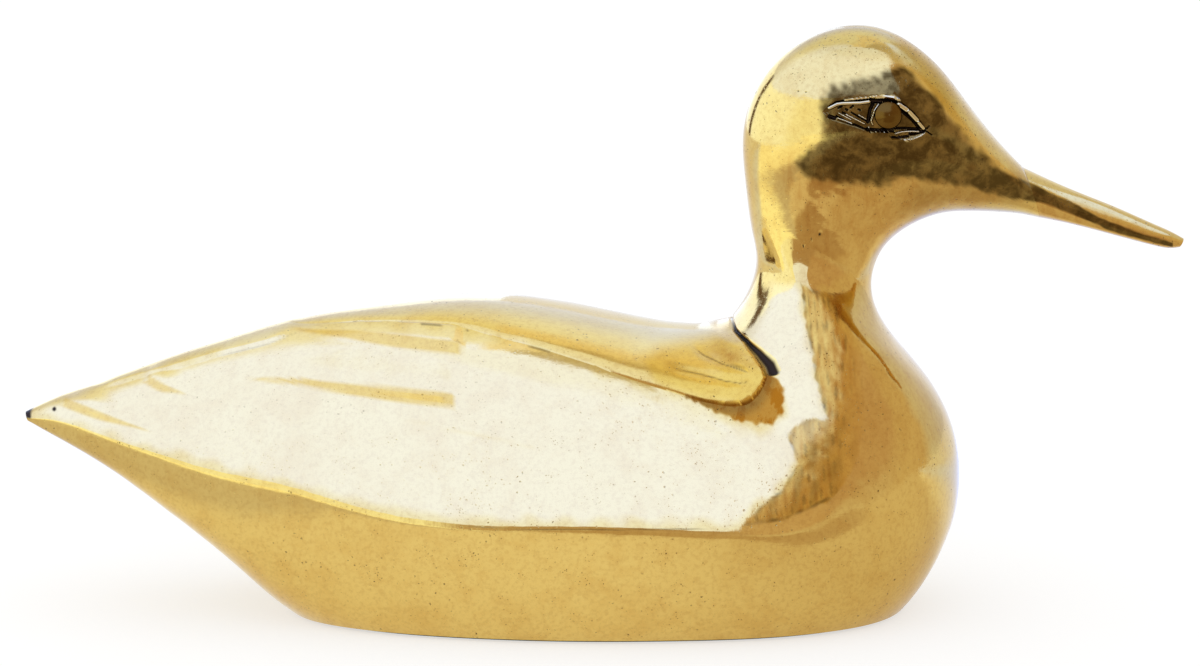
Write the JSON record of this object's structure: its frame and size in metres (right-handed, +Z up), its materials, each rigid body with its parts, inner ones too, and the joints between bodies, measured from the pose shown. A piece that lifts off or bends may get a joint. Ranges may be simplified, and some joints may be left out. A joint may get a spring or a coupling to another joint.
{
  "type": "duck figurine",
  "caption": "Hollow cast brass duck ornament with a long bill, a raised cape over folded wings, inset eyes and a felt-covered flat base.",
  "frame": {"origin": "on the floor under the middle of the duck, half way between tail tip and bill tip, on the seam plane", "axes": "+X from the tail to the bill, +Y to the duck's left, +Z up"},
  "size_m": [0.29, 0.1004, 0.1463],
  "materials": {
    "cast_brass": "hand-polished cast brass with fine scratches, casting pits and light tarnish",
    "eye_brass": "polished brass stud, darkened round its edge",
    "braze": "raw brazing metal",
    "sheet_brass": "unpolished rolled sheet",
    "screw_brass": "plain turned brass",
    "felt": "dark pressed wool felt"
  },
  "bodies": {
    "root": {"left_half_shell": "cast_brass", "right_half_shell": "cast_brass", "bill": "cast_brass", "left_eye": "eye_brass", "right_eye": "eye_brass", "seam_braze": "braze", "base_plate": "sheet_brass", "base_screws": "screw_brass", "felt_pad": "felt"}
  },
  "joints": []
}
